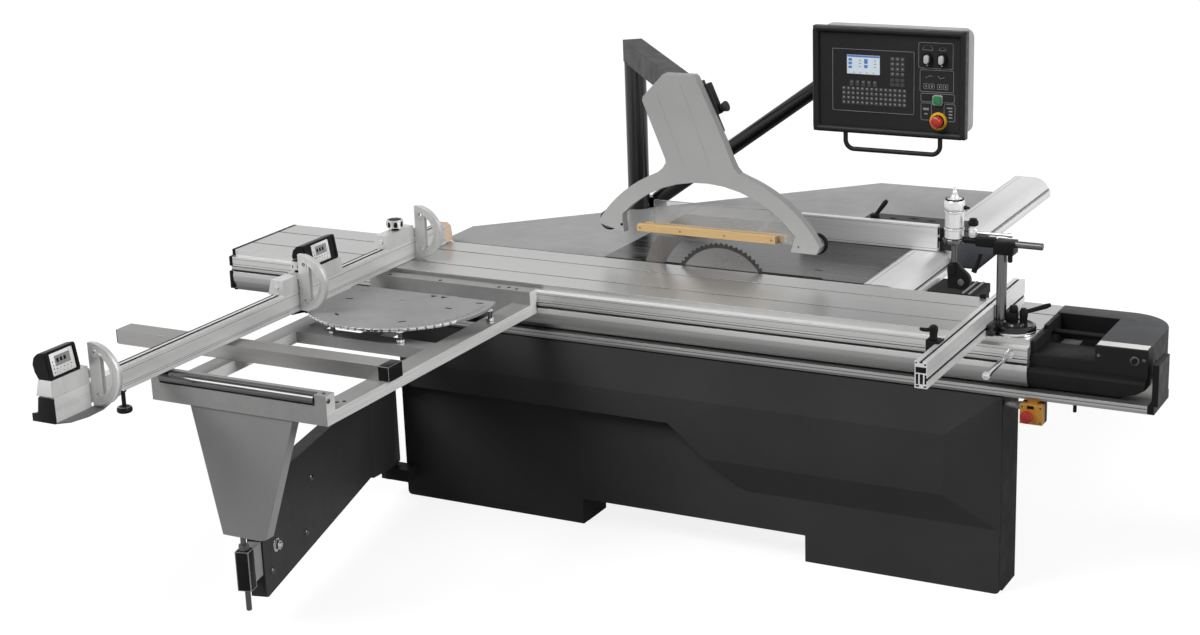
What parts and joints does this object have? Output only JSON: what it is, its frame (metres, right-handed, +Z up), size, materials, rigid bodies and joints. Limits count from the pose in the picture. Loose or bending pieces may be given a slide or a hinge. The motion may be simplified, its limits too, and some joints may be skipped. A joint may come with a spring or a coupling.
{
  "type": "sliding table saw",
  "caption": "Sliding table saw with a long aluminium carriage, crosscut fence on an outrigger frame, tilting saw unit, overhead guard and swivelling control panel.",
  "frame": {"origin": "on the floor, at the centre of the four anchor holes", "axes": "+Z up, +X along the carriage's travel towards its handle, +Y away from the operator"},
  "size_m": [3.629, 4.07, 1.702],
  "materials": {
    "base_paint": "satin",
    "panel_paint": "satin",
    "rail": "satin",
    "black_plastic": "matte",
    "table_iron": "ground",
    "plate_paint": "satin",
    "black_paint": "gloss",
    "arm_paint": "satin",
    "orange_plastic": "satin",
    "red_plastic": "gloss",
    "unit_iron": "painted",
    "steel": "brushed",
    "hood_paint": "matte",
    "clear": "clear",
    "wood": "plain",
    "rubber": "matte",
    "box_paint": "satin",
    "keypad": "satin",
    "green_plastic": "gloss",
    "aluminium": "brushed",
    "handle_plastic": "textured",
    "chrome": "polished",
    "frame_paint": "satin",
    "leg_paint": "satin",
    "dark_aluminium": "matte",
    "stop_alu": "satin",
    "grey_steel": "satin"
  },
  "bodies": {
    "base": {"base_frame": "base_paint", "front_panel": "panel_paint", "fixed_rail": "rail", "rail_ends": "black_plastic", "cast_table": "table_iron", "left_plate": "plate_paint", "rear_plate": "plate_paint", "guide_rail": "rail", "guard_post": "black_paint", "guard_arm": "arm_paint", "panel_boom": "black_paint", "estop_box": "orange_plastic"},
    "estop_box_push": {"estop_box_button": "red_plastic"},
    "tilt": {"tilt_trunnion": "unit_iron"},
    "rise": {"saw_unit": "unit_iron", "riving_knife": "steel"},
    "blade": {"main_blade": "steel"},
    "hood": {"guard_hood": "hood_paint", "clear_guard": "clear", "wood_strips": "wood"},
    "roller_left": {"guard_roller_left": "rubber"},
    "roller_right": {"guard_roller_right": "rubber"},
    "guard_knob_turn": {"guard_knob": "black_plastic"},
    "panel": {"panel_box": "box_paint", "panel_bezel": "black_plastic", "panel_keypad": "keypad"},
    "panel_estop_push": {"panel_estop": "red_plastic"},
    "start_push": {"start_button": "green_plastic"},
    "switch_left": {"mode_switch_left": "black_plastic"},
    "switch_right": {"mode_switch_right": "black_plastic"},
    "carriage_body": {"carriage": "aluminium", "carriage_cap": "black_plastic", "handle_unit": "handle_plastic", "push_bar": "chrome", "crosscut_frame": "frame_paint", "support_leg": "leg_paint"},
    "handle_push": {"push_button": "black_plastic"},
    "roller": {"frame_roller": "chrome"},
    "tele": {"telescopic_bar": "dark_aluminium"},
    "fence": {"crosscut_fence": "aluminium", "mitre_plate": "plate_paint"},
    "extension": {"fence_extension": "aluminium", "stop_block_front": "stop_alu", "stop_display_front": "black_plastic"},
    "stop_middle": {"stop_block_middle": "stop_alu", "stop_display_middle": "black_plastic"},
    "stop_rear": {"stop_block_rear": "stop_alu"},
    "flip_front": {"stop_flip_front": "stop_alu"},
    "flip_middle": {"stop_flip_middle": "stop_alu"},
    "flip_rear": {"stop_flip_rear": "stop_alu"},
    "arm": {"swing_arm": "black_paint"},
    "tube": {"arm_tube": "grey_steel"},
    "rip_slide": {"rip_carrier": "arm_paint"},
    "rip": {"rip_fence": "aluminium"},
    "rip_lock": {"rip_lever": "black_plastic"},
    "clamp": {"clamp_bar": "aluminium", "hold_column": "black_paint"},
    "clamp_lock": {"clamp_knob": "black_plastic"},
    "hold": {"hold_arm": "arm_paint"},
    "foot": {"hold_foot": "black_plastic"}
  },
  "joints": [
    {"name": "carriage_slide", "type": "slide", "parent": "base", "child": "carriage_body", "axis": [1, 0, 0], "range_m": [-1.7, 0]},
    {"name": "estop_box_press", "type": "slide", "parent": "base", "child": "estop_box_push", "axis": [0, 1, 0], "range_m": [0, 0.006], "stiffness_N_per_m": 400},
    {"name": "saw_tilt", "type": "hinge", "parent": "base", "child": "tilt", "pos_m": [0, -0.142, 0.9], "axis": [-1, 0, 0], "range_deg": [0, 45]},
    {"name": "saw_rise", "type": "slide", "parent": "tilt", "child": "rise", "axis": [0, 0, 1], "range_m": [-0.13, 0.014]},
    {"name": "blade_spin", "type": "hinge", "parent": "rise", "child": "blade", "pos_m": [0, -0.142, 0.799], "axis": [0, 1, 0], "continuous": true},
    {"name": "guard_rise", "type": "slide", "parent": "base", "child": "hood", "axis": [-0.3987, 0, 0.9171], "range_m": [0, 0.15]},
    {"name": "guard_roller_left_spin", "type": "hinge", "parent": "hood", "child": "roller_left", "pos_m": [-0.478, -0.1, 1.037], "axis": [0, 1, 0], "continuous": true},
    {"name": "guard_roller_right_spin", "type": "hinge", "parent": "hood", "child": "roller_right", "pos_m": [0.362, -0.1, 1.019], "axis": [0, 1, 0], "continuous": true},
    {"name": "guard_knob_spin", "type": "hinge", "parent": "base", "child": "guard_knob_turn", "pos_m": [-0.01962, -0.088, 1.48615], "axis": [0.9171, 0, 0.3987], "continuous": true},
    {"name": "panel_swing", "type": "hinge", "parent": "base", "child": "panel", "pos_m": [0.34, 0.66, 1.6], "axis": [0, 0, 1], "range_deg": [0, 60]},
    {"name": "panel_estop_press", "type": "slide", "parent": "panel", "child": "panel_estop_push", "axis": [0, 1, 0], "range_m": [0, 0.006], "stiffness_N_per_m": 400},
    {"name": "start_press", "type": "slide", "parent": "panel", "child": "start_push", "axis": [0, 1, 0], "range_m": [0, 0.004], "stiffness_N_per_m": 300},
    {"name": "switch_left_turn", "type": "hinge", "parent": "panel", "child": "switch_left", "pos_m": [0.556, 0.5, 1.594], "axis": [0, 1, 0], "range_deg": [-60, 60]},
    {"name": "switch_right_turn", "type": "hinge", "parent": "panel", "child": "switch_right", "pos_m": [0.613, 0.5, 1.594], "axis": [0, 1, 0], "range_deg": [-60, 60]},
    {"name": "handle_button_press", "type": "slide", "parent": "carriage_body", "child": "handle_push", "axis": [0, 1, 0], "range_m": [0, 0.005], "stiffness_N_per_m": 300},
    {"name": "frame_roller_spin", "type": "hinge", "parent": "carriage_body", "child": "roller", "pos_m": [-0.882, -1.889, 0.88], "axis": [1, 0, 0], "continuous": true},
    {"name": "telescopic_slide", "type": "slide", "parent": "carriage_body", "child": "tele", "axis": [1, 0, 0], "range_m": [-0.2, 0]},
    {"name": "fence_swing", "type": "hinge", "parent": "carriage_body", "child": "fence", "pos_m": [-0.88, -0.93, 0.9], "axis": [0, 0, 1], "range_deg": [-45, 45]},
    {"name": "extension_slide", "type": "slide", "parent": "fence", "child": "extension", "axis": [0, 1, 0], "range_m": [-0.5, 0.13]},
    {"name": "stop_middle_slide", "type": "slide", "parent": "fence", "child": "stop_middle", "axis": [0, 1, 0], "range_m": [-0.6, 0.2]},
    {"name": "stop_rear_slide", "type": "slide", "parent": "fence", "child": "stop_rear", "axis": [0, 1, 0], "range_m": [-0.08, 0.15]},
    {"name": "stop_flip_front_turn", "type": "hinge", "parent": "extension", "child": "flip_front", "pos_m": [-1.168, -2.25, 1.005], "axis": [0, -1, 0], "range_deg": [0, 90]},
    {"name": "stop_flip_middle_turn", "type": "hinge", "parent": "stop_middle", "child": "flip_middle", "pos_m": [-1.168, -1.161, 1.005], "axis": [0, -1, 0], "range_deg": [0, 90]},
    {"name": "stop_flip_rear_turn", "type": "hinge", "parent": "stop_rear", "child": "flip_rear", "pos_m": [-1.168, -0.414, 1.005], "axis": [0, -1, 0], "range_deg": [0, 90]},
    {"name": "arm_swing", "type": "hinge", "parent": "base", "child": "arm", "pos_m": [-1.19, -0.62, 0.3], "axis": [0, 0, 1], "range_deg": [-62, 1]},
    {"name": "arm_reach", "type": "slide", "parent": "arm", "child": "tube", "axis": [0.225, -0.9744, 0], "range_m": [0, 0.64]},
    {"name": "rip_carrier_slide", "type": "slide", "parent": "base", "child": "rip_slide", "axis": [0, 1, 0], "range_m": [-0.44, 0.85]},
    {"name": "rip_fence_slide", "type": "slide", "parent": "rip_slide", "child": "rip", "axis": [1, 0, 0], "range_m": [-0.15, 0.3]},
    {"name": "rip_lever_turn", "type": "hinge", "parent": "rip_slide", "child": "rip_lock", "pos_m": [0.382, 0.42, 1], "axis": [0, 0, 1], "range_deg": [-60, 60]},
    {"name": "clamp_slide", "type": "slide", "parent": "carriage_body", "child": "clamp", "axis": [1, 0, 0], "range_m": [-0.8, 0]},
    {"name": "clamp_lever_turn", "type": "hinge", "parent": "clamp", "child": "clamp_lock", "pos_m": [1.097, -0.945, 1], "axis": [0, 0, 1], "range_deg": [-90, 90]},
    {"name": "hold_arm_swing", "type": "hinge", "parent": "clamp", "child": "hold", "pos_m": [1.168, -0.49, 1.18], "axis": [0, 0, 1], "range_deg": [-90, 90]},
    {"name": "hold_foot_slide", "type": "slide", "parent": "hold", "child": "foot", "axis": [0, 0, 1], "range_m": [-0.09, 0]}
  ],
  "couplings": [
    {"joint": "arm_swing", "follows": "carriage_slide", "rad_per_m": 0.6253},
    {"joint": "arm_reach", "follows": "carriage_slide", "ratio": -0.372}
  ]
}
